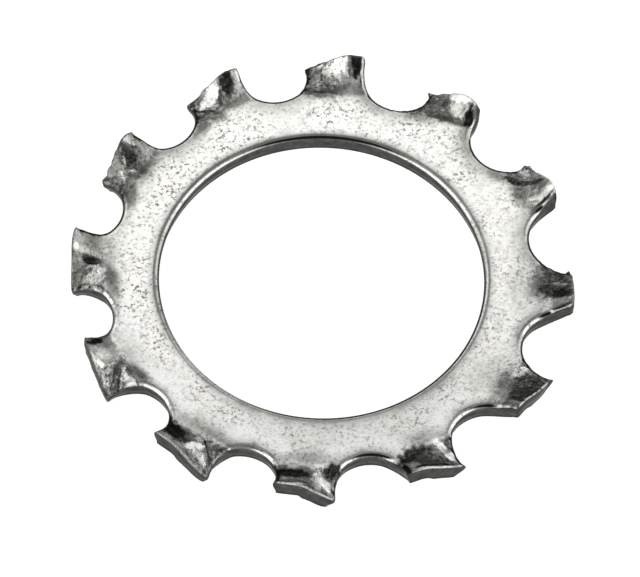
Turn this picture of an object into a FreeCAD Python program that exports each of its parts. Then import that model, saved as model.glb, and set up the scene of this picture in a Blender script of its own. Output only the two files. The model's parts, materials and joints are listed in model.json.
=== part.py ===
import FreeCAD, Part
import math
import os

# External tooth lock washer, stamped from one piece of spring steel strip.
# Millimetres. +Z up. The origin is the bore's centre, half-way through the flat ring.
# Every tooth is twisted about its own radius: seen from above, its clockwise edge
# stands above the ring and its counter-clockwise edge hangs below it.

# Driving dimensions
bore_diameter = 21.0      # passes a 20 mm bolt
outside_diameter = 32.6   # over the tooth tips
thickness = 1.4           # strip
tooth_count = 12
notch_depth = 2.54        # from the tip circle to the floor of a notch
notch_radius = 2.44       # the round punch that cuts the gap between two teeth
bore_roll = 0.3           # the bore's upper edge, drawn down by the punch
tooth_rise = 1.35         # climb of the clockwise corner above the flat ring
tooth_drop = 0.7          # fall of the counter-clockwise corner below it
flank_width = 2.1         # sloping middle of a tooth, between its two level ends
flank_offset = 0.4        # the flank's middle, counter-clockwise of the tooth's own middle
root_flat = 0.15          # flat stretch from a notch's floor out to the crease
crease_length = 0.5       # radial length of the bend between the ring and a straight tooth
crease_skew = 0.4         # how much farther out the rising edge is creased
trim_allowance = 0.3      # extra strip past the tooth's sides and tip, punched away

# Sizes worked out from them
up = FreeCAD.Vector(0, 0, 1)
centre = FreeCAD.Vector(0, 0, 0)
sector = 360.0 / tooth_count
half_sector = math.radians(sector / 2)
half_thickness = thickness / 2
tip_radius = outside_diameter / 2
notch_floor_radius = tip_radius - notch_depth
notch_centre_radius = notch_floor_radius + notch_radius
crease_start = notch_floor_radius + root_flat
crease_end = crease_start + crease_length + crease_skew
cutter_height = 2 * (thickness + tooth_rise + tooth_drop)

# Half the tooth's width where it leaves the ring, between the two notches
notch_x = notch_centre_radius * math.cos(half_sector)
notch_y = notch_centre_radius * math.sin(half_sector)
root_half_width = notch_y - math.sqrt(notch_radius ** 2 - (notch_x - crease_start) ** 2)
strip_half_width = root_half_width + trim_allowance

# Where the formed strip's sections stand along the crease, and the points that draw each one
crease_stations = (0, 1 / 3, 2 / 3, 1)
section_points = 9


def turned(shape, angle):
    """A copy of shape, turned about the bore by angle in degrees."""
    copy = shape.copy()
    copy.rotate(centre, up, angle)
    return copy


def upright_cylinder(radius, x=0.0):
    """A cutter along Z, long enough to pass through the tallest tooth."""
    base = FreeCAD.Vector(x, 0, -cutter_height / 2)
    return Part.makeCylinder(radius, cutter_height, base)


def notch_punches():
    """One round punch between each two teeth."""
    punch = upright_cylinder(notch_radius, notch_centre_radius)
    return [turned(punch, sector * (i + 0.5)) for i in range(tooth_count)]


def fold_share(x, y):
    """How far the strip has left the flat: 0 up to the crease, then straight to 1 at the tip."""
    start = crease_start + crease_skew * (0.5 - y / (2 * strip_half_width))
    bent = min(max(x - start, 0.0), crease_length) ** 2 / (2 * crease_length)
    straight = max(x - start - crease_length, 0.0)
    return (bent + straight) / (tip_radius - start - crease_length / 2)


def twist(y):
    """Height and slope of a formed tooth across its width: rise, flank, drop."""
    angle = (y - flank_offset) / flank_width * math.pi
    angle = min(max(angle, -math.pi / 2), math.pi / 2)
    half_step = (tooth_rise + tooth_drop) / 2
    height = (tooth_rise - tooth_drop) / 2 - half_step * math.sin(angle)
    slope = half_step * math.cos(angle) * math.pi / flank_width
    return height, slope


def skin_points(x, side):
    """Control points of the upper (side 1) or lower (side -1) skin, straight across at x."""
    points = []
    for i in range(section_points):
        y = strip_half_width * (2 * i / (section_points - 1) - 1)
        share = fold_share(x, y)
        height, slope = twist(y)
        # a sloping strip is thicker when it is measured straight up
        upright_half = half_thickness * math.hypot(1, share * slope)
        points.append(FreeCAD.Vector(x, y, share * height + side * upright_half))
    return points


def smooth_edge(points):
    """A cubic curve that starts and ends on the first and last point."""
    curve = Part.BSplineCurve()
    inner_knots = section_points - 4
    knots = list(range(inner_knots + 2))
    multiplicities = [4] + [1] * inner_knots + [4]
    curve.buildFromPolesMultsKnots(points, multiplicities, knots, False, 3)
    return curve.toShape()


def strip_section(x):
    """The strip's cross-section at x: two parallel skins and two straight sides."""
    upper = skin_points(x, 1)
    lower = skin_points(x, -1)
    return Part.Wire([
        smooth_edge(upper),
        Part.makeLine(upper[-1], lower[-1]),
        smooth_edge(lower),
        Part.makeLine(lower[0], upper[0]),
    ])


def tooth(punches):
    """One twisted tooth on +X: a lofted strip, trimmed by the tip circle and two notches."""
    stations = [crease_start + share * (crease_end - crease_start) for share in crease_stations]
    stations.append(tip_radius + trim_allowance)
    strip = Part.makeLoft([strip_section(x) for x in stations], True, True)
    trimmed = strip.common(upright_cylinder(tip_radius))
    return trimmed.cut([punches[0], punches[-1]])


def flat_ring(punches):
    """The flat middle: a many-sided plate whose sides are the lines where teeth leave it."""
    corner_radius = crease_start / math.cos(half_sector)
    corners = []
    for i in range(tooth_count + 1):
        angle = half_sector * (2 * i + 1)
        x = corner_radius * math.cos(angle)
        y = corner_radius * math.sin(angle)
        corners.append(FreeCAD.Vector(x, y, -half_thickness))
    plate = Part.Face(Part.makePolygon(corners)).extrude(up * thickness)
    plate = plate.cut(upright_cylinder(bore_diameter / 2))
    plate = plate.makeChamfer(bore_roll, upper_bore_edges(plate))
    return plate.cut(punches)


def upper_bore_edges(plate):
    """The round edge at the top of the bore."""
    return [
        edge for edge in plate.Edges
        if isinstance(edge.Curve, Part.Circle) and edge.CenterOfMass.z > 0
    ]


def lock_washer():
    """Flat ring and twisted teeth as one solid."""
    punches = notch_punches()
    first = tooth(punches)
    teeth = [turned(first, sector * i) for i in range(tooth_count)]
    return flat_ring(punches).fuse(teeth).removeSplitter().Solids[0]


os.makedirs("parts", exist_ok=True)
shape = lock_washer()
shape.exportStep("parts/lock_washer.step")
print("volume", round(shape.Volume, 2), "valid", shape.isValid(), "faces", len(shape.Faces))
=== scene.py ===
"""An external tooth lock washer, stamped from spring steel strip and zinc plated."""

import json
import math
from collections import namedtuple

import bmesh
import bpy
import numpy as np
from mathutils import Matrix, Vector, noise


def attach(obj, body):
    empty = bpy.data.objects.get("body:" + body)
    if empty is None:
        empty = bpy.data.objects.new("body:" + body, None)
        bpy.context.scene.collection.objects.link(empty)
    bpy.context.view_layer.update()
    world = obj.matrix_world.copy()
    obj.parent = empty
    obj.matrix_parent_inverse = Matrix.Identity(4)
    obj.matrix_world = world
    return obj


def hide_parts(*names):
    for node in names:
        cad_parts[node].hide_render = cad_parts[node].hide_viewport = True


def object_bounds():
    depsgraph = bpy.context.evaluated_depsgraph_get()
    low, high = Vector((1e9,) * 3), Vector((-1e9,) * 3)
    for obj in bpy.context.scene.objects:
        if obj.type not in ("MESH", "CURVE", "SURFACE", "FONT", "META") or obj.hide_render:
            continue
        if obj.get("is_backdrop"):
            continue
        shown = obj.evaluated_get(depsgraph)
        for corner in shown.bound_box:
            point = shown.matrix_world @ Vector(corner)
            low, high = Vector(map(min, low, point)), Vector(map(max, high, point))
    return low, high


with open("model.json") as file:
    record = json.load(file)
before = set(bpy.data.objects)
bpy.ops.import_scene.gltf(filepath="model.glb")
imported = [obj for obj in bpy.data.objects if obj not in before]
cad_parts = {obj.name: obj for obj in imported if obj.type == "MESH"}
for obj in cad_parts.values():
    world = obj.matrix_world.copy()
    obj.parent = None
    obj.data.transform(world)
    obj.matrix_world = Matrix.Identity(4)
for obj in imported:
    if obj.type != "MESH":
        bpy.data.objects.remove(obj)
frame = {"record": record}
CAD_LOW, CAD_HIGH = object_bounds()
BORE = frame["record"]["mounts"][0]["dims"]

bl_info = {
    "name": "Tooth Lock Washer",
    "version": (1, 0, 0),
    "blender": (4, 5, 0),
    "location": "3D View > Sidebar > Washer",
    "description": "Models a stamped and twisted tooth lock washer on a pale studio stage",
    "category": "Mesh",
}

MM = 0.001
NODE = "lock_washer"
IMAGE_WIDTH = 640

# Where the bore's centre falls in the picture, in pixels from its middle
SHIFT_RIGHT = 1.74
SHIFT_UP = 12.5

# How each tooth came out of the twisting die, in millimetres, clockwise from the one on +Y.
# Its clockwise side rises and its counter-clockwise side falls, either side of a sloping flank.
# The crease is where it leaves the ring, and leans outwards clockwise. For each side: drawn is
# how much shorter than the punched blank it ends, swung is how far it moved counter-clockwise,
# and round is the radius of its corner. Ragged is how torn the tooth's end is, lip how bright the
# painted highlight on the edge of that end is, and strain how far the ring beside it is darkened,
# partly plating dulled by the twist and partly painted shade, all from 0 to 1.
Tooth = namedtuple(
    "Tooth",
    "rise fall flank_middle flank_width crease lean "
    "rising_drawn falling_drawn rising_swung falling_swung rising_round falling_round "
    "ragged lip strain",
)
TEETH = (
    Tooth(1.36, 0.58, 0.45, 2.30, 14.20, 0.15, -0.03, 0.00, -0.07, 0.48, 0.30, 0.10, 0.2, 0.3, 0.45),
    Tooth(1.38, 0.65, 0.60, 2.10, 14.65, 0.45, 0.08, 0.22, -0.12, 0.45, 0.90, 0.10, 0.3, 0.4, 0.35),
    Tooth(1.36, 0.35, 0.25, 1.95, 14.55, 0.20, -0.05, 0.12, 0.12, 0.25, 0.60, 0.10, 0.2, 0.9, 0.35),
    Tooth(1.27, 0.58, 0.25, 2.35, 14.40, 0.15, -0.08, 0.08, 0.09, 0.10, 0.25, 0.10, 0.1, 0.3, 0.30),
    Tooth(1.12, 0.32, 0.20, 2.40, 14.40, 0.15, 0.10, -0.14, 0.00, 0.32, 0.15, 0.10, 0.2, 0.8, 0.60),
    Tooth(1.14, 0.52, 0.60, 2.50, 14.35, 0.12, 0.13, -0.20, -0.13, 0.36, 0.10, 0.10, 0.2, 0.8, 0.15),
    Tooth(1.30, 0.40, 0.72, 1.85, 14.30, 0.05, 0.00, -0.20, -0.34, 0.30, 0.15, 0.30, 0.1, 0.7, 0.55),
    Tooth(1.30, 0.32, 0.45, 1.90, 14.20, 0.06, 0.00, -0.25, -0.28, 0.55, 0.15, 0.25, 0.3, 0.5, 0.80),
    Tooth(1.38, 0.62, 0.30, 2.10, 14.15, 0.05, 0.06, -0.10, -0.25, 0.30, 0.60, 0.20, 0.4, 0.1, 1.00),
    Tooth(1.38, 0.75, 0.42, 1.85, 14.10, 0.05, 0.07, 0.15, -0.24, 0.27, 0.70, 0.25, 0.1, 0.2, 0.85),
    Tooth(1.38, 0.80, 0.40, 1.80, 14.10, 0.08, 0.13, 0.21, -0.12, 0.05, 1.10, 0.20, 0.4, 0.1, 0.80),
    Tooth(1.32, 0.80, 0.25, 1.95, 14.25, 0.12, 0.14, 0.18, -0.05, 0.28, 0.35, 0.30, 0.4, 0.2, 0.40),
)

# Marks on the teeth and on the ring beside them: the middle, in millimetres out from the bore's
# axis and counter-clockwise across the tooth, the turn of the mark's length from straight out,
# half its length, half its width, and how bright it is, from black at 0 over the ring's zinc at
# 1 to white at 1.2. Shades are painted shade on the creases and the ring beside them; they lie
# under the patches and fade out over their whole width. Patches are partly the torn steel's own
# dark and partly painted dark reflections, and above 1 painted highlights; they fade out over a
# narrow edge, and also say how far they stand proud.
Shade = namedtuple("Shade", "tooth out across turn length width tone")
Patch = namedtuple("Patch", "tooth out across turn length width tone proud")
SHADES = [Shade(*row) for row in (
    (2, 13.85, 1.50, -75, 0.90, 0.45, 0.62),
    (3, 13.70, 2.00, -55, 0.80, 0.40, 0.62),
    (4, 12.90, 0.30, 90, 1.50, 0.80, 0.84),
    (5, 12.80, -0.20, 90, 1.60, 0.80, 0.86),
    (8, 13.75, 1.00, -80, 0.80, 0.45, 0.68),
    (10, 13.20, 2.20, -50, 0.60, 0.35, 0.60),
    (11, 13.55, 1.90, -60, 0.80, 0.40, 0.62),
    (12, 13.60, 1.95, -60, 0.90, 0.40, 0.50),
    (1, 14.20, 0.95, -85, 1.15, 0.55, 0.30),
    (1, 14.60, -0.40, -65, 0.60, 0.30, 0.50),
    (2, 14.70, 0.15, -75, 1.25, 0.40, 0.30),
    (2, 15.05, -0.80, -70, 0.50, 0.30, 0.60),
    (3, 14.40, 0.25, 75, 1.10, 0.50, 0.50),
    (3, 15.20, -0.30, -15, 0.60, 0.50, 0.52),
    (4, 14.15, 0.45, 90, 1.35, 0.70, 0.40),
    (5, 14.40, -0.35, -80, 1.30, 0.75, 0.42),
    (6, 14.40, 0.20, 90, 1.10, 0.50, 0.42),
    (6, 13.70, 0.60, 85, 1.25, 0.55, 0.70),
    (7, 14.25, -0.75, -85, 1.10, 0.50, 0.50),
    (7, 13.70, -0.30, -85, 1.65, 0.50, 0.72),
    (8, 14.80, -0.30, -65, 0.95, 0.65, 0.50),
    (8, 14.20, -0.70, -85, 1.10, 0.85, 0.62),
    (9, 15.65, -0.50, 20, 0.65, 0.45, 0.75),
    (9, 13.90, 1.30, -65, 1.05, 0.35, 0.36),
    (10, 15.50, -0.65, -10, 0.85, 0.50, 0.68),
    (10, 13.60, 1.05, -70, 0.95, 0.45, 0.45),
    (10, 14.95, -0.75, -85, 1.25, 0.55, 0.60),
    (11, 14.35, -0.20, -75, 1.00, 0.70, 0.50),
    (11, 14.00, 1.60, -55, 0.80, 0.45, 0.40),
    (11, 15.45, -0.30, -30, 0.95, 0.75, 0.15),
    (12, 14.50, -0.25, -70, 1.10, 0.35, 0.65),
    (12, 14.05, 0.95, 60, 0.80, 0.40, 0.45),
    (12, 14.70, -0.40, -85, 0.95, 0.35, 0.60),
)]
PATCHES = [Patch(*row) for row in (
    (1, 15.20, 1.20, -5, 0.90, 0.45, 0.55, 0.00),
    (1, 15.50, 0.80, 0, 0.60, 0.10, 0.35, -0.01),
    (1, 15.70, -0.05, -80, 0.80, 0.50, 0.90, 0.02),
    (1, 16.00, 0.95, -85, 0.35, 0.10, 1.10, 0.02),
    (1, 14.90, -0.15, -80, 0.60, 0.35, 0.65, 0.00),
    (1, 15.65, -0.85, 5, 0.55, 0.10, 0.40, 0.00),
    (1, 15.75, -1.25, 5, 0.70, 0.30, 0.02, -0.02),
    (1, 14.10, 1.05, 90, 0.85, 0.10, 0.15, -0.02),
    (2, 15.20, 0.70, 85, 0.80, 0.45, 0.38, 0.00),
    (2, 15.50, 0.35, -20, 0.35, 0.20, 0.15, -0.02),
    (2, 16.05, -0.30, -80, 0.60, 0.25, 1.20, 0.02),
    (2, 15.40, -0.60, 40, 0.45, 0.45, 0.68, 0.02),
    (2, 16.00, -1.15, -85, 0.25, 0.10, 0.30, 0.00),
    (2, 15.45, -1.30, 10, 0.60, 0.25, 0.02, -0.02),
    (2, 14.70, -1.90, 25, 0.50, 0.06, 1.20, 0.02),
    (2, 14.95, -0.45, -70, 0.75, 0.06, 0.25, -0.02),
    (3, 15.50, 1.35, -75, 0.40, 0.35, 0.98, 0.05),
    (3, 14.60, 0.90, -50, 0.80, 0.25, 0.10, -0.03),
    (3, 15.50, 0.20, -35, 0.85, 0.20, 0.12, -0.03),
    (3, 15.35, -0.60, -15, 0.55, 0.40, 0.58, 0.00),
    (3, 16.05, -1.15, -10, 0.20, 0.20, 1.10, 0.02),
    (3, 14.75, -0.20, 65, 0.45, 0.10, 0.45, -0.01),
    (3, 14.90, -1.05, -40, 0.30, 0.06, 0.30, -0.01),
    (3, 15.45, -1.45, -5, 0.70, 0.10, 0.02, -0.01),
    (4, 15.10, 0.50, -10, 1.05, 1.00, 0.18, -0.01),
    (4, 15.35, 0.50, -10, 0.50, 0.15, 0.50, 0.03),
    (4, 14.45, 1.70, -45, 0.50, 0.15, 0.30, -0.02),
    (4, 15.20, -0.32, -20, 1.15, 0.45, 0.06, -0.02),
    (4, 15.60, -1.55, 0, 0.70, 0.10, 0.02, -0.01),
    (4, 15.60, -1.15, -15, 0.55, 0.15, 0.75, 0.00),
    (4, 15.85, 1.35, 70, 0.40, 0.10, 0.50, 0.03),
    (5, 15.50, 0.25, 60, 1.20, 1.15, 0.17, -0.01),
    (5, 15.70, -0.95, -10, 0.60, 0.20, 0.10, -0.02),
    (5, 14.50, 0.95, 65, 0.45, 0.20, 0.85, 0.02),
    (5, 14.65, 1.45, 0, 0.35, 0.15, 1.20, 0.04),
    (5, 15.40, 1.68, 30, 0.60, 0.25, 0.62, 0.00),
    (5, 14.75, 0.35, 70, 0.40, 0.15, 0.12, -0.02),
    (6, 14.65, -0.60, 85, 1.15, 0.60, 0.06, -0.03),
    (6, 15.40, 0.10, 65, 1.20, 0.65, 0.26, -0.01),
    (6, 14.60, 1.10, 10, 0.45, 0.30, 1.20, 0.04),
    (6, 15.50, 1.25, 15, 0.40, 0.30, 1.20, 0.04),
    (6, 15.10, 1.10, 10, 0.20, 0.15, 0.85, 0.03),
    (6, 16.20, -0.10, 85, 1.30, 0.10, 1.10, 0.02),
    (6, 16.00, -0.10, 85, 1.25, 0.15, 0.12, -0.02),
    (7, 15.00, -0.80, -90, 1.00, 0.50, 0.06, -0.03),
    (7, 15.90, -0.70, -80, 0.90, 0.20, 0.40, 0.00),
    (7, 16.25, -0.75, -75, 0.75, 0.10, 1.10, 0.02),
    (7, 15.25, 0.70, 5, 0.85, 0.30, 1.00, 0.03),
    (7, 15.50, 1.15, 25, 0.45, 0.30, 1.20, 0.05),
    (7, 14.45, 1.50, -65, 0.60, 0.45, 0.12, -0.02),
    (7, 16.15, 1.55, 55, 0.10, 0.15, 1.20, 0.03),
    (8, 15.15, -1.20, 75, 1.05, 0.65, 0.04, -0.03),
    (8, 14.75, -1.80, 45, 0.85, 0.30, 0.04, -0.03),
    (8, 15.25, 0.35, -40, 0.65, 0.25, 1.20, 0.05),
    (8, 15.55, 1.00, 55, 0.45, 0.20, 1.15, 0.04),
    (8, 14.75, 0.90, 45, 0.65, 0.06, 0.05, -0.04),
    (8, 15.30, 1.45, 45, 0.50, 0.06, 0.08, -0.04),
    (8, 14.65, 1.20, 35, 0.80, 0.20, 0.50, 0.00),
    (8, 14.95, 1.55, 25, 0.35, 0.06, 0.95, 0.03),
    (8, 15.95, 0.35, -85, 0.50, 0.20, 0.45, 0.00),
    (8, 15.50, 0.65, 80, 0.35, 0.25, 0.90, 0.03),
    (9, 15.55, -1.30, 10, 0.60, 0.20, 0.05, -0.02),
    (9, 15.80, 0.05, -70, 0.30, 0.15, 1.20, 0.04),
    (9, 15.55, 1.00, 80, 0.80, 0.50, 0.50, 0.00),
    (9, 14.80, 0.45, 25, 0.60, 0.20, 0.28, -0.03),
    (9, 14.52, 1.70, -80, 0.70, 0.28, 1.15, 0.04),
    (9, 15.20, 0.70, 55, 0.65, 0.06, 0.10, -0.04),
    (9, 15.80, 1.10, 70, 0.55, 0.06, 0.95, 0.04),
    (9, 15.95, 0.80, 85, 0.55, 0.10, 0.90, 0.04),
    (9, 15.15, 1.35, 55, 0.60, 0.10, 0.10, -0.04),
    (9, 14.80, 1.10, 50, 0.60, 0.10, 0.85, 0.03),
    (9, 14.30, 2.25, -30, 0.65, 0.10, 1.20, 0.00),
    (10, 15.85, -1.00, 55, 0.50, 0.30, 0.76, 0.00),
    (10, 16.05, -0.35, -20, 0.15, 0.20, 1.20, 0.04),
    (10, 14.95, 0.10, -5, 0.70, 0.30, 0.05, -0.03),
    (10, 15.45, 1.15, 90, 0.80, 0.55, 0.45, 0.00),
    (10, 14.60, 1.00, 55, 0.75, 0.60, 0.95, 0.05),
    (10, 15.05, 0.70, 35, 0.30, 0.15, 0.25, -0.02),
    (10, 14.30, 2.10, -40, 0.50, 0.06, 1.15, 0.03),
    (11, 15.85, -1.00, 35, 0.55, 0.30, 0.75, 0.00),
    (11, 15.25, -0.25, -30, 0.40, 0.30, 0.08, -0.02),
    (11, 15.45, 0.15, -40, 0.30, 0.06, 1.00, 0.04),
    (11, 14.85, 0.45, 25, 0.60, 0.10, 0.85, 0.04),
    (11, 15.40, 0.95, 55, 0.60, 0.60, 0.48, 0.00),
    (11, 15.05, 0.90, -30, 0.40, 0.10, 0.95, 0.04),
    (11, 15.35, 1.85, -15, 0.45, 0.20, 0.30, 0.00),
    (12, 15.70, -0.75, -10, 0.80, 0.50, 0.03, -0.02),
    (12, 15.45, 0.45, -55, 0.75, 0.45, 1.20, 0.04),
    (12, 15.05, 1.20, -50, 0.40, 0.25, 1.20, 0.03),
    (12, 15.75, 1.55, -35, 0.90, 0.25, 0.45, 0.02),
    (12, 15.45, 1.40, -25, 0.55, 0.06, 0.95, 0.04),
    (12, 15.80, -1.60, -10, 0.40, 0.10, 1.10, 0.02),
    (12, 14.65, 1.00, 55, 0.60, 0.15, 0.10, -0.04),
    (12, 15.05, -0.05, -25, 0.55, 0.15, 0.25, -0.02),
)]

# Burrs pulled out of the tooth's edge: where, how wide, how far out, across and up, and at
# which depth of the strip, from its upper face at 0 to its lower face at 1
Burr = namedtuple("Burr", "tooth out across width push_out push_across push_up depth")
BURRS = (
    Burr(2, 16.25, 1.80, 0.35, 0.05, 0.22, 0.08, 0.0),
    Burr(2, 16.00, -1.85, 1.30, -0.05, -0.25, -0.10, 1.0),
    Burr(3, 15.80, 1.90, 0.38, 0.10, 0.30, 0.35, 0.0),
    Burr(3, 16.25, -1.85, 1.50, -0.15, -0.45, -0.22, 1.0),
    Burr(4, 15.95, 1.85, 0.24, 0.05, 0.40, 0.18, 0.0),
    Burr(5, 16.25, 1.85, 0.25, 0.20, 0.18, 0.10, 0.0),
    Burr(6, 16.20, 1.80, 0.25, 0.05, 0.14, 0.00, 0.0),
    Burr(11, 16.20, 1.50, 0.30, 0.14, 0.05, 0.00, 0.0),
    Burr(12, 16.20, 0.60, 0.30, 0.10, 0.00, 0.08, 0.0),
)

# Half the width of a tooth's end, and the radius at which its points start to be drawn in
TOOTH_HALF_WIDTH = 1.85 * MM
DRAWN_FROM = 13.9 * MM

# How bright a tooth's face is where no mark lies, on its clockwise and its torn side: partly the
# torn steel's own dark, partly painted shade of the dark surroundings that the twisted face mirrors
SMOOTH_TONE = 0.78
TORN_TONE = 0.52

# Over which share of its size a shade and a patch fade out
SHADE_FADE = 1.4
PATCH_FADE = 0.42

# Bearings round the bore, counter-clockwise from +X, where painted light and shade differ: the
# near side's painted sheen, the notch whose rolled edges lose most of their painted dark
# reflection, and the far and near sides where the ring's painted shade is stronger and wider
NEAR_SIDE = math.radians(270)
UNSHADED_NOTCH = math.radians(225)
FAR_SHADE_SIDE = math.radians(75)
NEAR_SHADE_SIDE = math.radians(285)

# Cloudy patterns in the plating, by the sockets of the noise node: the scale is per metre
Clouds = namedtuple("Clouds", "Scale Detail Roughness Distortion")
PITS = Clouds(4700, 2.5, 0.6, 0.4)
PATCHINESS = Clouds(400, 3.0, 0.55, 0.0)
MOTTLE = Clouds(1500, 3.0, 0.6, 0.0)
STREAKS = Clouds(3000, 4.0, 0.65, 1.0)
SCRATCHES = Clouds(1700, 4.0, 0.65, 0.3)
CRUMPLE = Clouds(1400, 3.0, 0.55, 1.2)

# Soft lamps that face the washer: degrees round from +Y towards +X and degrees up, then in
# metres how far away, how wide and how high, and how bright
Lamp = namedtuple("Lamp", "name azimuth elevation distance width height radiance")
LAMPS = (
    Lamp("far_box", -16, 45, 0.20, 0.27, 0.13, 1.15),
    Lamp("side_box", 56, 32, 0.30, 0.18, 0.24, 0.6),
    Lamp("left_box", -118, 30, 0.30, 0.40, 0.32, 1.6),
    Lamp("right_box", 108, 28, 0.30, 0.32, 0.30, 1.4),
    Lamp("near_box", 180, 52, 0.30, 0.26, 0.20, 0.5),
)

# Sides of the floor, brightness of its paint, of its glow and of the room, and the glow's share
FLOOR_SIDES = 96
FLOOR_GREY = 0.9
FLOOR_GLOW = 1.4
ROOM_GREY = 0.28
GLOW_SHARE = 0.6

# The camera's lens and sensor in millimetres, and the farthest it sees in metres
LENS = 450
SENSOR_WIDTH = 36
FARTHEST = 10

# Counts of the net, the steps in which a punched edge is drawn, and how the net is smoothed
NET_ACROSS = 40
RING_ROWS = 12
TOOTH_ROWS = 36
EDGE_INSETS = tuple(inset * MM for inset in (0.35, 0.27, 0.20, 0.14, 0.09, 0.05, 0.02, 0.0))
WALL_CUTS = 8
SMOOTHING_ROUNDS = 60
SMOOTH_ANGLE = math.radians(40)

# How strongly the net's rows bend from the tooth's middle to its sides
ROW_BEND = 1.5

# How close two points are when they are one, and how close to the outline a wall's point is
MERGE_DISTANCE = 1e-7
WALL_DISTANCE = 1e-6

# Steps through the noise that give every field and every tooth clouds of its own
FIELD_STEP = 31.0
TOOTH_STEP = 7.0

# The stretch beside the bore that no noise reaches, and how far a crease wanders
PLAIN_RING = 1.6 * MM
CREASE_WANDER = 0.06 * MM


def metres(name, description, default):
    """A length that the panel shows."""
    return bpy.props.FloatProperty(
        name=name, description=description, default=default, unit="LENGTH"
    )


def degrees(name, description, default):
    """An angle that the panel shows."""
    return bpy.props.FloatProperty(
        name=name, description=description, default=math.radians(default), subtype="ANGLE"
    )


def tint(name, description, default):
    """A colour that the panel shows."""
    return bpy.props.FloatVectorProperty(
        name=name, description=description, default=default, subtype="COLOR"
    )


class WasherSizes(bpy.types.PropertyGroup):
    """Sizes of the flat blank and of its edges."""

    bore_radius: metres("Bore radius", "Radius of the round hole", BORE["r_mm"] * MM)
    tip_radius: metres("Tip radius", "Radius over the tooth tips", CAD_HIGH.x)
    thickness: metres("Thickness", "Thickness of the strip", 1.4 * MM)
    tooth_count: bpy.props.IntProperty(
        name="Teeth",
        description="Number of teeth round the rim",
        default=len(TEETH),
    )
    notch_radius: metres(
        "Notch radius", "Radius of the round punch that cuts the gap between two teeth", 2.44 * MM
    )
    notch_depth: metres("Notch depth", "From the tip circle in to the floor of a notch", 2.54 * MM)
    roll_width: metres(
        "Edge roll width", "How far in from a punched edge the upper face is drawn down", 0.36 * MM
    )
    roll_depth: metres(
        "Edge roll depth", "How far the punch draws the upper face down at its edge", 0.30 * MM
    )
    dish_width: metres(
        "Edge dish width", "How far in from a punched edge the face starts to sag", 0.90 * MM
    )
    dish_depth: metres(
        "Edge dish depth", "How far the face sags towards a punched edge before the roll", 0.04 * MM
    )
    tip_roll: metres("Tip roll", "How far the upper face is drawn down at a tooth's end", 0.06 * MM)
    fracture_depth: metres("Fracture depth", "How far back the foot of a punched wall tore", 0.18 * MM)
    crease_softness: metres(
        "Crease softness", "Half the width of the curve where a tooth leaves the flat ring", 0.26 * MM
    )


class WasherFinish(bpy.types.PropertyGroup):
    """Colours of the plating, and of the painted shade and highlights on it."""

    zinc: tint("Zinc", "Colour of the bright plated faces", (0.95, 0.943, 0.905))
    # Darker zinc beside a crease, a notch or the bore: partly plating dulled by strain, partly painted
    # shade
    strained: tint(
        "Strained zinc", "Colour of the plating beside a crease or a notch", (0.30, 0.30, 0.285)
    )
    # Painted highlight: the white that the bright patches, the sheen and the ends' lips are painted
    # with
    polished: tint(
        "Polished zinc", "Colour where the punch or the die burnished the plating", (0.95, 0.95, 0.94)
    )
    pit: tint("Pits", "Colour of the small pits in the plating", (0.22, 0.208, 0.195))
    # The grey halfway down the tone's scale: the torn steel's own colour, which the painted dark
    # reflections on the teeth also pass through
    torn: tint(
        "Torn steel",
        "What the torn and stretched faces of the teeth keep of the zinc's brightness",
        (0.26, 0.265, 0.255),
    )
    # Painted dark: the painted reflection of the dark room in the bend of a rolled edge, the painted
    # dark lines, and the foot of a wall, where painted shadow joins the burr
    dull: tint(
        "Dull line", "Colour in the bend of an edge and at the foot of a wall", (0.012, 0.012, 0.012)
    )
    wall: tint("Sheared wall", "Colour of the punched walls", (0.042, 0.042, 0.040))


class StageSizes(bpy.types.PropertyGroup):
    """The camera's place and the stage."""

    azimuth: degrees("Azimuth", "Camera's turn about the bore", 1.8)
    elevation: degrees("Elevation", "Camera's height above the horizon", 58.62)
    roll: degrees("Roll", "Camera's turn about its own line of sight", 2.19)
    distance: metres("Distance", "From the washer's upper face to the camera", 0.5165)
    floor_radius: metres("Floor radius", "Radius of the pale floor", 1.9)


def settings():
    """The washer's sizes and finish and the stage's, as the panel shows them."""
    scene = bpy.context.scene
    return scene.washer_sizes, scene.washer_finish, scene.washer_stage


def sector_angle(sizes):
    """Angle from one tooth to the next."""
    return 2 * math.pi / sizes.tooth_count


def notch_centre(sizes):
    """Radius at which the notch punch stands."""
    return sizes.tip_radius - sizes.notch_depth + sizes.notch_radius


def corner_angles(sizes, inset):
    """Where tip meets notch, inset within the outline: angle about the bore and about the notch."""
    tip = sizes.tip_radius - inset
    punch = sizes.notch_radius + inset
    centre = notch_centre(sizes)
    about_notch = math.acos((centre**2 + punch**2 - tip**2) / (2 * centre * punch))
    about_bore = sector_angle(sizes) / 2 - math.asin(punch * math.sin(about_notch) / tip)
    return about_bore, about_notch


def notch_point(sizes, inset, angle):
    """Radius and angle from the tooth's axis of a point on a notch's side."""
    punch = sizes.notch_radius + inset
    along = notch_centre(sizes) - punch * math.cos(angle)
    across = punch * math.sin(angle)
    return math.hypot(along, across), sector_angle(sizes) / 2 - math.atan2(across, along)


def side_point(sizes, row):
    """Radius and angle of the net's side at a row, from the bore out to the tip."""
    inset = EDGE_INSETS[0]
    if row <= RING_ROWS:
        start = sizes.bore_radius + inset
        end = sizes.tip_radius - sizes.notch_depth - inset
        return start + (end - start) * row / RING_ROWS, sector_angle(sizes) / 2
    about_notch = corner_angles(sizes, inset)[1]
    return notch_point(sizes, inset, about_notch * (row - RING_ROWS) / TOOTH_ROWS)


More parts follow.
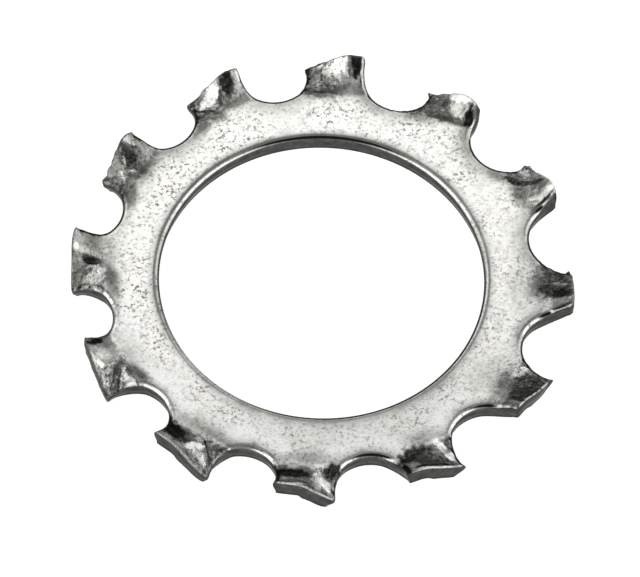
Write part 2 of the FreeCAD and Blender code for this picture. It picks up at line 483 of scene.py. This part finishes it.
def set_out_sector(mesh, sizes):
    """Moves a grid's points into one tooth and its stretch of ring, laid flat."""
    rows = RING_ROWS + TOOTH_ROWS
    start = sizes.bore_radius + EDGE_INSETS[0]
    end = sizes.tip_radius - EDGE_INSETS[0]
    for vertex in mesh.vertices:
        across = vertex.co.x
        row = round((vertex.co.y + 1) / 2 * rows)
        side_radius, side_angle = side_point(sizes, row)
        middle_radius = start + (end - start) * row / rows
        radius = middle_radius + (side_radius - middle_radius) * abs(across) ** ROW_BEND
        angle = across * side_angle
        vertex.co = (radius * math.cos(angle), radius * math.sin(angle), 0)


def moved_outline(point, sizes, inset, new_inset):
    """A point of the net's rim, moved from one inset within the outline to another."""
    radius = math.hypot(point.x, point.y)
    angle = math.atan2(point.y, point.x)
    if radius < sizes.bore_radius + 2 * EDGE_INSETS[0]:
        new_radius = sizes.bore_radius + new_inset
        return Vector((math.cos(angle), math.sin(angle), 0)) * new_radius
    axis = round(angle / sector_angle(sizes)) * sector_angle(sizes)
    side = math.copysign(1, angle - axis)
    away = abs(angle - axis)
    about_bore, about_notch = corner_angles(sizes, inset)
    new_about_bore, new_about_notch = corner_angles(sizes, new_inset)
    if radius > sizes.tip_radius - inset - MERGE_DISTANCE:
        new_radius = sizes.tip_radius - new_inset
        new_away = away * new_about_bore / about_bore
    else:
        half = sector_angle(sizes) / 2
        along = notch_centre(sizes) - radius * math.cos(half - away)
        across = radius * math.sin(half - away)
        turn = math.atan2(across, along) * new_about_notch / about_notch
        new_radius, new_away = notch_point(sizes, new_inset, turn)
    turned = axis + side * new_away
    return Vector((math.cos(turned), math.sin(turned), 0)) * new_radius


def start_editing(piece):
    """Edit mode on this piece alone."""
    bpy.ops.object.select_all(action="DESELECT")
    piece.select_set(True)
    bpy.context.view_layer.objects.active = piece
    bpy.ops.object.mode_set(mode="EDIT")


def select(piece, kind, wanted):
    """In edit mode, selects the vertices or the edges for which wanted says yes."""
    bpy.ops.mesh.select_all(action="DESELECT")
    bpy.ops.mesh.select_mode(type=kind)
    net = bmesh.from_edit_mesh(piece.data)
    for item in net.verts if kind == "VERT" else net.edges:
        item.select = wanted(item)
    net.select_flush_mode()
    bmesh.update_edit_mesh(piece.data)


def spin_sectors(piece, sizes):
    """Copies the sector round the bore, joins the copies and evens out the net inside its rims."""
    start_editing(piece)
    bpy.ops.mesh.select_all(action="SELECT")
    copies = sizes.tooth_count - 1
    bpy.ops.mesh.spin(
        steps=copies,
        dupli=True,
        angle=copies * sector_angle(sizes),
        center=(0, 0, 0),
        axis=(0, 0, 1),
    )
    bpy.ops.mesh.select_all(action="SELECT")
    bpy.ops.mesh.remove_doubles(threshold=MERGE_DISTANCE)
    select(piece, "VERT", lambda vertex: not vertex.is_boundary)
    bpy.ops.mesh.vertices_smooth(factor=0.5, repeat=SMOOTHING_ROUNDS, zaxis=False)


def extrude_rims(piece, sizes):
    """Draws both rims of the net out to the true outline, in ever shorter steps."""
    select(piece, "EDGE", lambda edge: edge.is_boundary)
    for inset, new_inset in zip(EDGE_INSETS, EDGE_INSETS[1:]):
        bpy.ops.mesh.extrude_edges_move()
        net = bmesh.from_edit_mesh(piece.data)
        for vertex in net.verts:
            if vertex.select:
                vertex.co = moved_outline(vertex.co, sizes, inset, new_inset)
        bmesh.update_edit_mesh(piece.data)
    bpy.ops.object.mode_set(mode="OBJECT")


def give_thickness(piece, sizes):
    """Makes the net a strip, with rows of points down its punched walls."""
    solid = piece.modifiers.new("strip", "SOLIDIFY")
    solid.thickness = sizes.thickness
    solid.offset = 0
    bpy.ops.object.modifier_apply(modifier=solid.name)
    start_editing(piece)
    tall = 0.9 * sizes.thickness
    select(piece, "EDGE", lambda edge: abs(edge.verts[0].co.z - edge.verts[1].co.z) > tall)
    bpy.ops.mesh.subdivide(number_cuts=WALL_CUTS)
    bpy.ops.mesh.select_all(action="SELECT")
    bpy.ops.mesh.normals_make_consistent(inside=False)
    bpy.ops.object.mode_set(mode="OBJECT")


def cut_blank(sizes):
    """The flat blank: ring, teeth and notches, with its punched walls."""
    rows = RING_ROWS + TOOTH_ROWS
    bpy.ops.object.select_all(action="DESELECT")
    bpy.ops.mesh.primitive_grid_add(x_subdivisions=NET_ACROSS, y_subdivisions=rows, size=2)
    piece = bpy.context.object
    piece.name = "plated_washer"
    set_out_sector(piece.data, sizes)
    spin_sectors(piece, sizes)
    extrude_rims(piece, sizes)
    give_thickness(piece, sizes)
    return piece


def points_of(piece):
    """A piece's vertices as an array of rows."""
    values = np.zeros(len(piece.data.vertices) * 3)
    piece.data.vertices.foreach_get("co", values)
    return values.reshape(-1, 3)


def soft_ramp(distance, soft):
    """0 before a fold, the distance after it, and a curve of this half-width between."""
    near = np.clip(distance + soft, 0, 2 * soft)
    return np.where(distance > soft, distance, near**2 / (4 * soft))


def soft_step(value, soft):
    """The value held between -1 and 1, with both corners rounded."""
    size = np.abs(value)
    over = np.clip(size - 1 + soft, 0, 2 * soft)
    held = np.where(size > 1 + soft, 1.0, size - over**2 / (4 * soft))
    return np.sign(value) * held


def smooth(share):
    """0 to 1 with a level start and a level end."""
    share = np.clip(share, 0, 1)
    return share * share * (3 - 2 * share)


def ramp(value, start, end):
    """0 at the start and 1 at the end, with a smooth rise between them."""
    return smooth((value - start) / (end - start))


def fading(distance, spread):
    """1 close by and less farther off: 0.37 where the square of the millimetres is the spread."""
    return np.exp(-((distance / MM) ** 2) / spread)


def quarter_round(share):
    """0 at the start of an edge's roll and 1 at its end, on a quarter of an ellipse."""
    return 1 - np.sqrt(1 - np.clip(share, 0, 1) ** 2)


# How far away one of the outline's edges is, and the way inwards from it: outwards and across
Edge = namedtuple("Edge", "away out across")


class Blank:
    """Where each point of the flat blank lies, tooth by tooth."""

    def __init__(self, flat, sizes):
        radius = np.hypot(flat[:, 0], flat[:, 1])
        self.bearing = np.arctan2(flat[:, 1], flat[:, 0])
        turn = sector_angle(sizes)
        place = np.round(self.bearing / turn)
        local = self.bearing - place * turn
        self.sizes = sizes
        self.axis = place * turn
        self.tooth = (sizes.tooth_count // 4 - place.astype(int)) % sizes.tooth_count
        self.out = radius * np.cos(local)
        self.across = radius * np.sin(local)
        # depth in the strip, from its upper face at 0 to its lower face at 1
        self.level = (sizes.thickness / 2 - flat[:, 2]) / sizes.thickness

        notch_out = self.out - notch_centre(sizes) * math.cos(turn / 2)
        notch_across = np.abs(self.across) - notch_centre(sizes) * math.sin(turn / 2)
        notch_away = np.hypot(notch_out, notch_across)
        self.notch = Edge(
            notch_away - sizes.notch_radius,
            notch_out / notch_away,
            np.sign(self.across) * notch_across / notch_away,
        )
        self.bore = Edge(radius - sizes.bore_radius, np.cos(local), np.sin(local))
        self.tip = Edge(sizes.tip_radius - radius, -np.cos(local), -np.sin(local))
        self.punched = np.minimum(self.notch.away, self.bore.away)
        self.rolled = np.clip(1 - self.punched / sizes.roll_width, 0, 1)

        self.grain = self.clouds(0, 1.3, 1.3)
        self.rough = self.clouds(1, 3.0, 3.6)
        self.fine = self.clouds(2, 7.0, 9.0)
        self.find_zones()

    def find_zones(self):
        """Works out how far each point belongs to a tooth, and to that tooth's two sides."""
        tip_radius = self.sizes.tip_radius
        self.crease = self.length("crease") - self.share("lean") * self.across
        self.clockwise = ramp(self.across, 0.9 * MM, -1.5 * MM)
        soft = (0.15 + 0.55 * self.clockwise) * MM
        self.beyond = ramp(self.out - self.crease, -soft, soft)
        self.torn = self.beyond * ramp(self.across, -0.6 * MM, 1.0 * MM)
        self.reach = np.clip((self.out - DRAWN_FROM) / (tip_radius - DRAWN_FROM), 0, 1.2)

    def share(self, name):
        """One share of TEETH for every point."""
        values = np.array([getattr(tooth, name) for tooth in TEETH])
        return values[self.tooth]

    def length(self, name):
        """One length of TEETH for every point, in metres."""
        return self.share(name) * MM

    def clouds(self, field, out_scale, across_scale):
        """A field of cloudy noise on the blank, about -1 to 1, with so many clouds a millimetre."""
        out = self.out / MM * out_scale
        across = self.across / MM * across_scale
        places = np.column_stack((out, across, self.tooth * TOOTH_STEP + field * FIELD_STEP))
        wanted = self.bore.away > PLAIN_RING
        values = np.zeros(len(places))
        values[wanted] = [noise.noise(Vector(place)) * 2 for place in places[wanted]]
        return values

    def lift(self, step_out=0.0, step_across=0.0, crease_soft=None, flank_soft=0.3):
        """Height of the formed face, for points moved by these steps."""
        crease = self.crease + self.grain * CREASE_WANDER
        soft = crease_soft or self.sizes.crease_softness * (1 + self.clockwise)
        share = soft_ramp(self.out + step_out - crease, soft) / (self.sizes.tip_radius - crease)
        across = self.across + step_across
        along_flank = (across - self.length("flank_middle")) / (self.length("flank_width") / 2)
        rise = self.length("rise")
        fall = self.length("fall")
        return share * ((rise - fall) / 2 - (rise + fall) / 2 * soft_step(along_flank, flank_soft))

    def slopes(self):
        """How the strip's thickness leans: the gentle slope of its middle, outwards and across."""
        step = 0.02 * MM
        outward_share = 0.2
        gentle = {"crease_soft": 0.8 * MM, "flank_soft": 0.9}
        outwards = self.lift(step, 0, **gentle) - self.lift(-step, 0, **gentle)
        across = self.lift(0, step, **gentle) - self.lift(0, -step, **gentle)
        falling = ramp(self.across, -1.0 * MM, 1.2 * MM)
        return outward_share * outwards / (2 * step), falling * across / (2 * step)

    def edge_roll(self):
        """How far the punches drew the upper face down."""
        sizes = self.sizes
        roll = sizes.roll_depth * quarter_round(self.rolled)
        dish = sizes.dish_depth * np.clip(1 - self.punched / sizes.dish_width, 0, 1) ** 2
        tip_roll = sizes.tip_roll * quarter_round(1 - self.tip.away / (1.5 * sizes.tip_roll))
        return np.maximum(roll + dish, tip_roll)

    def fracture(self, down):
        """How the lower part of every punched wall tore back into the strip."""
        reach = 0.8 * MM
        depth = ramp(down / self.sizes.thickness, 0.3, 1.0)
        out = np.zeros(len(down))
        across = np.zeros(len(down))
        for edge in (self.notch, self.bore, self.tip):
            amount = self.sizes.fracture_depth * depth * np.clip(1 - edge.away / reach, 0, 1)
            out += amount * edge.out
            across += amount * edge.across
        return out, across

    def corners(self):
        """How far the corners of a tooth's end are rounded back, outwards and across."""
        rising = self.across < 0
        radius = np.where(rising, self.length("rising_round"), self.length("falling_round"))
        past_side = np.clip(radius - self.notch.away, 0, None)
        past_end = np.clip(radius - self.tip.away, 0, None)
        square = np.maximum(past_side, past_end)
        back = 1 - square / np.maximum(np.hypot(past_side, past_end), 1e-9)
        back *= square > 0
        out = back * (past_side * self.notch.out + past_end * self.tip.out)
        across = back * (past_side * self.notch.across + past_end * self.tip.across)
        return out, across

    def drawn(self, out, across):
        """A place on the blank, drawn in and swung as the twist pulled it."""
        side = np.clip(self.across / TOOTH_HALF_WIDTH, -1, 1)
        rising = (1 - side) / 2
        falling = (1 + side) / 2
        shorter = self.length("rising_drawn") * rising + self.length("falling_drawn") * falling
        swung = self.length("rising_swung") * rising + self.length("falling_swung") * falling
        return out - self.reach * shorter, across + self.reach * swung

    def towards(self, bearing):
        """1 at this bearing round the bore, 0 square to it and -1 across the bore."""
        return np.cos(self.bearing - bearing)


def mark_share(blank, spot, fade):
    """How much of a patch or shade lies on each point: 1 inside it, fading over a ragged edge."""
    turn = math.radians(spot.turn)
    out = blank.out / MM - spot.out
    across = blank.across / MM - spot.across
    along = (out * math.cos(turn) + across * math.sin(turn)) / spot.length
    beside = (across * math.cos(turn) - out * math.sin(turn)) / spot.width
    ragged = blank.rough * 0.18 + blank.fine * 0.12
    inside = smooth((1 + fade / 2 + ragged - np.hypot(along, beside)) / fade)
    return inside * (blank.tooth == spot.tooth - 1)


def painted_near_sheen(blank):
    """Painted sheen: how much brighter the ring is painted in a band round the notches of its near
    side.
    """
    near_side = smooth(1.5 * blank.towards(NEAR_SIDE)) * (1 - blank.beyond)
    return 0.09 * near_side * fading(blank.notch.away - 1.15 * MM, 0.65**2)


def tone_and_relief(blank):
    """How bright every point is, painted shade, sheen and highlights included, and how far it stands
    proud, from the shades and patches.
    """
    face = TORN_TONE + (SMOOTH_TONE - TORN_TONE) * blank.clockwise
    tone = 1 - (1 - face) * blank.beyond
    for shade in SHADES:
        share = mark_share(blank, shade, SHADE_FADE)
        tone = tone * (1 - share) + shade.tone * share
    tone += painted_near_sheen(blank)
    proud = np.zeros(len(tone))
    for patch in PATCHES:
        share = mark_share(blank, patch, PATCH_FADE)
        tone = tone * (1 - share) + patch.tone * share
        proud += patch.proud * MM * share
    stretched = blank.beyond * (0.018 * blank.rough + 0.012 * blank.fine)
    return tone, proud + MM * (stretched + blank.torn * 0.030 * blank.rough)


def ragged_end(blank):
    """How far the torn ends of the teeth stand out or back."""
    at_end = ramp(blank.tip.away, 0.5 * MM, 0) * (1 - blank.level)
    torn = np.maximum(blank.torn, 0.2 * blank.beyond)
    return at_end * torn * blank.share("ragged") * MM * (blank.rough * 0.10 + blank.fine * 0.04)


def burr_pull(blank, burr):
    """How much of a burr's pull each point feels, from 0 to 1."""
    away = np.hypot(blank.out / MM - burr.out, blank.across / MM - burr.across)
    pull = np.clip(1 - away / burr.width, 0, 1) ** 1.5
    at_depth = (1 - np.abs(blank.level - burr.depth)) ** 0.5
    return pull * (blank.tooth == burr.tooth - 1) * at_depth


def formed_places(blank, proud):
    """Where every point of the blank ends up: its edges rolled and torn, its teeth twisted."""
    sizes = blank.sizes
    roll = blank.edge_roll()
    down = roll + blank.level * (sizes.thickness - roll)
    slope_out, slope_across = blank.slopes()
    steepness = np.sqrt(1 + slope_out**2 + slope_across**2)
    torn_out, torn_across = blank.fracture(down)
    round_out, round_across = blank.corners()
    out, across = blank.drawn(
        blank.out + torn_out + round_out, blank.across + torn_across + round_across
    )
    out += down * slope_out / steepness
    across += down * slope_across / steepness
    height = blank.lift() + sizes.thickness / 2 - down / steepness + proud * (1 - blank.level)
    out += ragged_end(blank)
    for burr in BURRS:
        pull = burr_pull(blank, burr)
        out += pull * burr.push_out * MM
        across += pull * burr.push_across * MM
        height += pull * burr.push_up * MM
    x = out * np.cos(blank.axis) - across * np.sin(blank.axis)
    y = out * np.sin(blank.axis) + across * np.cos(blank.axis)
    return np.column_stack((x, y, height))


def form_teeth(piece, sizes):
    """Forms the blank's edges and teeth, and leaves the marks that the finish reads."""
    blank = Blank(points_of(piece), sizes)
    tone, proud = tone_and_relief(blank)
    piece.data.vertices.foreach_set("co", formed_places(blank, proud).ravel())
    piece.data.update()
    mark(piece, "tone", tone)
    mark(piece, "torn", np.maximum(blank.torn, 0.25 * blank.beyond))
    mark_edges(piece, blank)
    mark_strain_and_shade(piece, blank)


def mark(piece, name, values):
    """Keeps one number for each point, for the finish to read."""
    attribute = piece.data.attributes.new(name, "FLOAT", "POINT")
    attribute.data.foreach_set("value", values.astype(np.float32))


def painted_rim_shade(blank):
    """How dark the painted line inside a rolled edge is: painted shade, standing in for the dark that
    the roll mirrors, set by the way that the edge faces; on the notches only the edges that face the
    near side get it.
    """
    at_bore = blank.bore.away < blank.notch.away
    inward_out = np.where(at_bore, blank.bore.out, blank.notch.out)
    inward_across = np.where(at_bore, blank.bore.across, blank.notch.across)
    facing_near = inward_out * np.sin(blank.axis) + inward_across * np.cos(blank.axis)
    # A painted dark line along the middle of the roll, painted shade
    line = ramp(np.abs(blank.punched - 0.33 * MM), 0.13 * MM, 0)
    by_bore = 0.75 - 0.3 * np.abs(facing_near)
    by_notch = 0.4 * ramp(facing_near, -0.2, 0.1)
    return line * np.where(at_bore, by_bore, by_notch)


def mark_edges(piece, blank):
    """Marks the punched walls and the rolled edges, where the rolled edges get painted dark
    reflections, the painted highlights on the lips of the ends, and the painted dark lines.
    """
    above = blank.level < 0.5
    at_wall = np.minimum(blank.punched, blank.tip.away) < WALL_DISTANCE
    # Round one notch the rolled edges lose most of their painted dark reflection, so that they show as
    # mirroring light
    shade_by_bearing = 1 - 0.9 * np.exp(12 * (blank.towards(UNSHADED_NOTCH) - 1))
    at_end = ramp(blank.tip.away, 0.11 * MM, 0.06 * MM) * above
    # A tooth's end gets a painted highlight on its lip, as bright as its lip says, and painted dark
    # where the lip is dull
    lip = blank.share("lip")
    painted_dark_end = at_end * (1 - lip) * 0.8
    mark(piece, "wall", at_wall * blank.level)
    mark(piece, "roll", ramp(blank.rolled, 0.05, 0.20) * above * shade_by_bearing)
    mark(piece, "sheared", ramp(blank.rolled, 0.78, 0.88) * above)
    mark(piece, "painted_lip_highlight", at_end * lip * ramp(blank.rough, -0.9, 0.1))
    mark(piece, "painted_dark_line", np.maximum(painted_dark_end, painted_rim_shade(blank) * above))


def mark_strain_and_shade(piece, blank):
    """Marks how far the ring is darkened beside the notches, the bore and the creases and on its near
    side: partly plating dulled by the punches and the twist, partly painted shade.
    """
    inside = blank.crease - blank.out
    on_ring = ramp(inside, -0.2 * MM, 0.4 * MM)
    # The painted shade reaches farther by the notches on the far side, and by the bore and over the
    # ring on the near side
    shade_by_bearing = ramp(blank.towards(FAR_SHADE_SIDE), -0.32, 0.48)
    near_shade = ramp(blank.towards(NEAR_SHADE_SIDE), 0.45, 0.95)

    # each cause has its strength, and fades over a spread in square millimetres
    notch_spread = 0.5 + (0.8 * shade_by_bearing - 0.28) * on_ring
    by_notch = (0.85 + 0.3 * shade_by_bearing * on_ring) * fading(blank.notch.away, notch_spread)
    by_bore = 1.6 * fading(blank.bore.away, 0.24 + 0.34 * near_shade)
    root = ramp(np.abs(blank.across), 3.1 * MM, 1.6 * MM) * on_ring
    by_crease = blank.share("strain") * root * fading(inside, 1.1)
    near_side_shade = 0.2 * np.exp(4 * (blank.towards(NEAR_SHADE_SIDE) - 1))
    strain = np.max((by_bore, by_notch, by_crease, near_side_shade), axis=0)

    burnished = 0.8 * ramp(blank.rolled, 0.1, 0.4) * (blank.level < 0.5)
    mark(piece, "strain", strain * (1 - burnished))


# Sockets of the node that mixes two colours
MIX_SHARE = 0
MIX_FIRST = 6
MIX_SECOND = 7
MIX_RESULT = 2


class Nodes:
    """Adds and links shader nodes by plain calls."""

    def __init__(self, tree):
        self.tree = tree
        tree.nodes.clear()

    def add(self, kind, inputs=None, **values):
        """A node of this kind. A value that is a socket is linked, and any other is set."""
        node = self.tree.nodes.new("ShaderNode" + kind)
        for name, value in values.items():
            setattr(node, name, value)
        for name, value in (inputs or {}).items():
            if isinstance(value, bpy.types.NodeSocket):
                self.tree.links.new(value, node.inputs[name])
            else:
                node.inputs[name].default_value = value
        return node

    def combine(self, operation, first, second, clamp=False):
        """One number made from two."""
        return self.add("Math", {0: first, 1: second}, operation=operation, use_clamp=clamp).outputs[0]

    def spread(self, value, low, high, to_low=0.0, to_high=1.0):
        """A number read between two marks."""
        inputs = {
            "Value": value,
            "From Min": low,
            "From Max": high,
            "To Min": to_low,
            "To Max": to_high,
        }
        return self.add("MapRange", inputs).outputs[0]

    def mix(self, share, first, second, blend="MIX"):
        """A colour between two, or blended from two."""
        inputs = {MIX_SHARE: share, MIX_FIRST: first, MIX_SECOND: second}
        return self.add("Mix", inputs, data_type="RGBA", blend_type=blend).outputs[MIX_RESULT]

    def clouds(self, place, pattern):
        """A cloudy pattern, from 0 to 1."""
        return self.add("TexNoise", {"Vector": place, **pattern._asdict()}).outputs["Fac"]

    def attribute(self, name):
        """A number that the mesh carries."""
        return self.add("Attribute", attribute_name=name).outputs["Fac"]


def new_material(name):
    """An empty material and its nodes."""
    material = bpy.data.materials.new(name)
    material.use_nodes = True
    return material, Nodes(material.node_tree)


def colour(values):
    """A colour with its alpha."""
    return (*values, 1.0)


def grey(value):
    """An even grey with its alpha."""
    return (value, value, value, 1.0)


def ring_zinc(nodes, finish, place, pits, patchy):
    """Bright zinc, mottled and pitted, and darker where the strain mark lies: partly plating dulled by
    strain, partly painted shade.
    """
    zinc, pit = colour(finish.zinc), colour(finish.pit)
    mottle = nodes.spread(nodes.clouds(place, MOTTLE), 0.42, 0.66, 0.0, 0.24)
    zinc = nodes.mix(mottle, zinc, pit)
    zinc = nodes.mix(pits, zinc, pit)
    uneven = nodes.spread(patchy, 0.3, 0.7, 0.6, 1.1)
    strain = nodes.combine("MULTIPLY", nodes.attribute("strain"), uneven, clamp=True)
    return nodes.mix(strain, zinc, colour(finish.strained))


def streaked_tone(nodes, place):
    """The brightness that the mesh carries, streaked where the face is torn or dark."""
    tone = nodes.attribute("tone")
    dark = nodes.spread(tone, 0.45, 0.1, 0.0, 0.7)
    rugged = nodes.combine("MAXIMUM", nodes.attribute("torn"), dark)
    streaks = nodes.spread(nodes.clouds(place, STREAKS), 0.3, 0.7, -0.18, 0.18)
    return nodes.combine("ADD", tone, nodes.combine("MULTIPLY", streaks, rugged))


def toned(nodes, finish, zinc, tone):
    """The zinc as bright as its tone says, painted shade and dark reflections included, through the
    grey of torn steel down to black.
    """
    scale = nodes.add("ValToRGB", {0: tone})
    points = scale.color_ramp.elements
    points[0].position = 0.02
    points[0].color = grey(0.015)
    points[1].position = 1.0
    points[1].color = grey(1.0)
    points.new(0.5).color = colour(finish.torn)
    return nodes.mix(1.0, zinc, scale.outputs[0], "MULTIPLY")


def painted_dark_edges(nodes, tone):
    """How much painted dark a rolled edge gets: a painted reflection of the dark room where it faces
    the camera squarely or turns well away from it, and the painted dark lines along it.
    """
    facing = nodes.add("LayerWeight").outputs["Facing"]
    level = nodes.spread(facing, 0.065, 0.02)
    steep = nodes.spread(facing, 0.29, 0.41)
    dull = nodes.combine("MULTIPLY", nodes.combine("MAXIMUM", level, steep), nodes.attribute("roll"))
    dull = nodes.combine("MULTIPLY", dull, nodes.spread(tone, 1.05, 1.15, 1.0, 0.0))
    return nodes.combine("MAXIMUM", dull, nodes.attribute("painted_dark_line"))


def punched_wall(nodes, finish, place, wall):
    """The scratched colour of the punched walls, darkest at their foot, where painted shadow joins the
    burr's dark.
    """
    scratched = nodes.spread(nodes.clouds(place, SCRATCHES), 0.32, 0.68)
    brighter = colour(2.4 * part for part in finish.wall)
    steel = nodes.mix(scratched, colour(finish.wall), brighter)
    return nodes.mix(nodes.spread(wall, 0.80, 1.0, 0.0, 0.8), steel, colour(finish.dull))


def crumpled_relief(nodes, place, fine, tone):
    """Fine pits all over, and dents where the steel was torn, fewer where the tone is bright and
    fewest under the painted highlights.
    """
    pits = {"Strength": 0.25, "Distance": 0.02 * MM, "Height": fine}
    pitted = nodes.add("Bump", pits).outputs[0]
    outside_highlight = nodes.spread(tone, 1.1, 0.7, 0.25, 1.0)
    share = nodes.combine("MULTIPLY", nodes.attribute("torn"), outside_highlight)
    dents = nodes.combine("MULTIPLY", nodes.clouds(place, CRUMPLE), share)
    crumpled = {"Strength": 0.9, "Distance": 0.13 * MM, "Height": dents, "Normal": pitted}
    return nodes.add("Bump", crumpled).outputs[0]


def plating(finish):
    """Pitted bright zinc, darker beside creases, notches and bore with strain and painted shade, dark
    where the steel tore or sheared, with painted dark reflections, dark lines and highlights.
    """
    material, nodes = new_material("zinc_plating")
    place = nodes.add("TexCoord").outputs["Object"]
    wall = nodes.attribute("wall")
    fine = nodes.clouds(place, PITS)
    patchy = nodes.clouds(place, PATCHINESS)
    pits = nodes.spread(fine, 0.525, 0.625)
    pits = nodes.combine("MULTIPLY", pits, nodes.spread(patchy, 0.38, 0.60, 0.3, 1.0))
    tone = streaked_tone(nodes, place)

    faces = toned(nodes, finish, ring_zinc(nodes, finish, place, pits, patchy), tone)
    # Painted highlights: where the tone runs past 1 and on the lips of the ends, the zinc is painted
    # white and turns less metallic
    highlight_share = nodes.combine("MAXIMUM", nodes.spread(tone, 1.0, 1.15), nodes.attribute("painted_lip_highlight"))
    polished = nodes.combine("MULTIPLY", highlight_share, nodes.spread(pits, 0.0, 1.0, 1.0, 0.45))
    faces = nodes.mix(polished, faces, colour(finish.polished))
    # Painted dark reflections and painted dark lines on the rolled edges
    faces = nodes.mix(painted_dark_edges(nodes, tone), faces, colour(finish.dull))
    on_wall = nodes.combine("MAXIMUM", nodes.spread(wall, 0.02, 0.06), nodes.attribute("sheared"))
    highlight_off_wall = nodes.combine("SUBTRACT", highlight_share, on_wall, clamp=True)
    skin = {
        "Base Color": nodes.mix(on_wall, faces, punched_wall(nodes, finish, place, wall)),
        "Metallic": nodes.spread(highlight_off_wall, 0.0, 1.0, 0.9, 0.3),
        "Roughness": nodes.spread(fine, 0.3, 0.7, 0.22, 0.34),
        "Specular Tint": grey(0.45),
        "Normal": crumpled_relief(nodes, place, fine, tone),
    }
    shader = nodes.add("BsdfPrincipled", skin)
    nodes.add("OutputMaterial", {"Surface": shader.outputs["BSDF"]})
    return material


class MESH_OT_lock_washer(bpy.types.Operator):
    """Model the washer: cut the blank, roll its edges, twist its teeth and plate it"""

    bl_idname = "mesh.lock_washer"
    bl_label = "Lock washer"

    def execute(self, context):
        sizes, finish, _ = settings()
        piece = cut_blank(sizes)
        form_teeth(piece, sizes)
        bpy.ops.object.shade_smooth_by_angle(angle=SMOOTH_ANGLE)
        piece.data.materials.append(plating(finish))
        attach(piece, "root")
        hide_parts(NODE)
        return {"FINISHED"}


def floor_material():
    """Matt white that stays white to the camera and to the metal, and keeps a soft shadow."""
    material, nodes = new_material("pale_floor")
    path = nodes.add("LightPath").outputs
    seen = nodes.combine("MAXIMUM", path["Is Camera Ray"], path["Is Glossy Ray"])
    seen = nodes.combine("MAXIMUM", seen, path["Is Transmission Ray"])
    share = nodes.combine("MULTIPLY", seen, GLOW_SHARE)
    matt = nodes.add("BsdfDiffuse", {"Color": grey(FLOOR_GREY)}).outputs[0]
    glow = nodes.add("Emission", {"Color": grey(1.0), "Strength": FLOOR_GLOW}).outputs[0]
    mixed = nodes.add("MixShader", {0: share, 1: matt, 2: glow}).outputs[0]
    nodes.add("OutputMaterial", {"Surface": mixed})
    return material


def direction(azimuth, elevation):
    """Which way a thing lies from the washer, round from +Y towards +X and up."""
    level = math.cos(elevation)
    return Vector((math.sin(azimuth) * level, math.cos(azimuth) * level, math.sin(elevation)))


def hang(data, place, turn):
    """A lamp or a camera in the scene, under its own name."""
    holder = bpy.data.objects.new(data.name, data)
    holder.location = place
    holder.rotation_mode = "QUATERNION"
    holder.rotation_quaternion = turn
    bpy.context.scene.collection.objects.link(holder)
    return holder


def place_lamp(lamp):
    """Hangs a soft lamp that faces the washer and isn't seen itself."""
    away = direction(math.radians(lamp.azimuth), math.radians(lamp.elevation))
    light = bpy.data.lights.new(lamp.name, "AREA")
    light.shape = "RECTANGLE"
    light.size = lamp.width
    light.size_y = lamp.height
    light.energy = lamp.radiance * math.pi * light.size * light.size_y
    holder = hang(light, away * lamp.distance, away.to_track_quat("Z", "Y"))
    holder.visible_camera = False


def place_camera(sizes, stage):
    """A long lens on the photograph's line of sight, from the near side of the washer."""
    back = direction(math.pi - stage.azimuth, stage.elevation)
    camera = bpy.data.cameras.new("camera")
    camera.lens = LENS
    camera.sensor_width = SENSOR_WIDTH
    camera.clip_end = FARTHEST
    turn = (-back).to_track_quat("-Z", "Y").to_matrix() @ Matrix.Rotation(stage.roll, 3, "Z")
    pixel = SENSOR_WIDTH / LENS * stage.distance / IMAGE_WIDTH
    right, up = turn.col[0], turn.col[1]
    target = Vector((0, 0, sizes.thickness / 2)) - right * SHIFT_RIGHT * pixel - up * SHIFT_UP * pixel
    place = target + back * stage.distance
    bpy.context.scene.camera = hang(camera, place, turn.to_quaternion())


class SCENE_OT_studio_stage(bpy.types.Operator):
    """Set up the floor, the lamps, the world and the camera"""

    bl_idname = "scene.studio_stage"
    bl_label = "Studio stage"

    def execute(self, context):
        sizes, _, stage = settings()
        bpy.ops.object.select_all(action="DESELECT")
        bpy.ops.mesh.primitive_circle_add(
            vertices=FLOOR_SIDES,
            radius=stage.floor_radius,
            fill_type="NGON",
            location=(0, 0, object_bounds()[0].z),
        )
        floor = context.object
        floor.name = "floor"
        floor.data.materials.append(floor_material())
        floor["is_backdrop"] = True

        for lamp in LAMPS:
            place_lamp(lamp)

        world = bpy.data.worlds.new("studio_air")
        world.use_nodes = True
        background = world.node_tree.nodes["Background"]
        background.inputs["Color"].default_value = grey(ROOM_GREY)
        context.scene.world = world
        context.scene.view_settings.view_transform = "Standard"
        place_camera(sizes, stage)
        return {"FINISHED"}


class VIEW3D_PT_washer(bpy.types.Panel):
    """Lists the washer's sizes, finish and stage, and builds them"""

    bl_label = "Lock washer"
    bl_space_type = "VIEW_3D"
    bl_region_type = "UI"
    bl_category = "Washer"

    def draw(self, context):
        layout = self.layout
        for group in settings():
            box = layout.box()
            for name in group.bl_rna.properties.keys():
                if name not in ("rna_type", "name"):
                    box.prop(group, name)
        layout.operator("mesh.lock_washer")
        layout.operator("scene.studio_stage")


CLASSES = (
    WasherSizes,
    WasherFinish,
    StageSizes,
    MESH_OT_lock_washer,
    SCENE_OT_studio_stage,
    VIEW3D_PT_washer,
)


def register():
    for item in CLASSES:
        bpy.utils.register_class(item)
    bpy.types.Scene.washer_sizes = bpy.props.PointerProperty(type=WasherSizes)
    bpy.types.Scene.washer_finish = bpy.props.PointerProperty(type=WasherFinish)
    bpy.types.Scene.washer_stage = bpy.props.PointerProperty(type=StageSizes)


def unregister():
    del bpy.types.Scene.washer_sizes
    del bpy.types.Scene.washer_finish
    del bpy.types.Scene.washer_stage
    for item in reversed(CLASSES):
        bpy.utils.unregister_class(item)


def main():
    """Builds the washer and its stage."""
    register()
    bpy.ops.mesh.lock_washer()
    bpy.ops.scene.studio_stage()


if __name__ == "__main__":
    main()
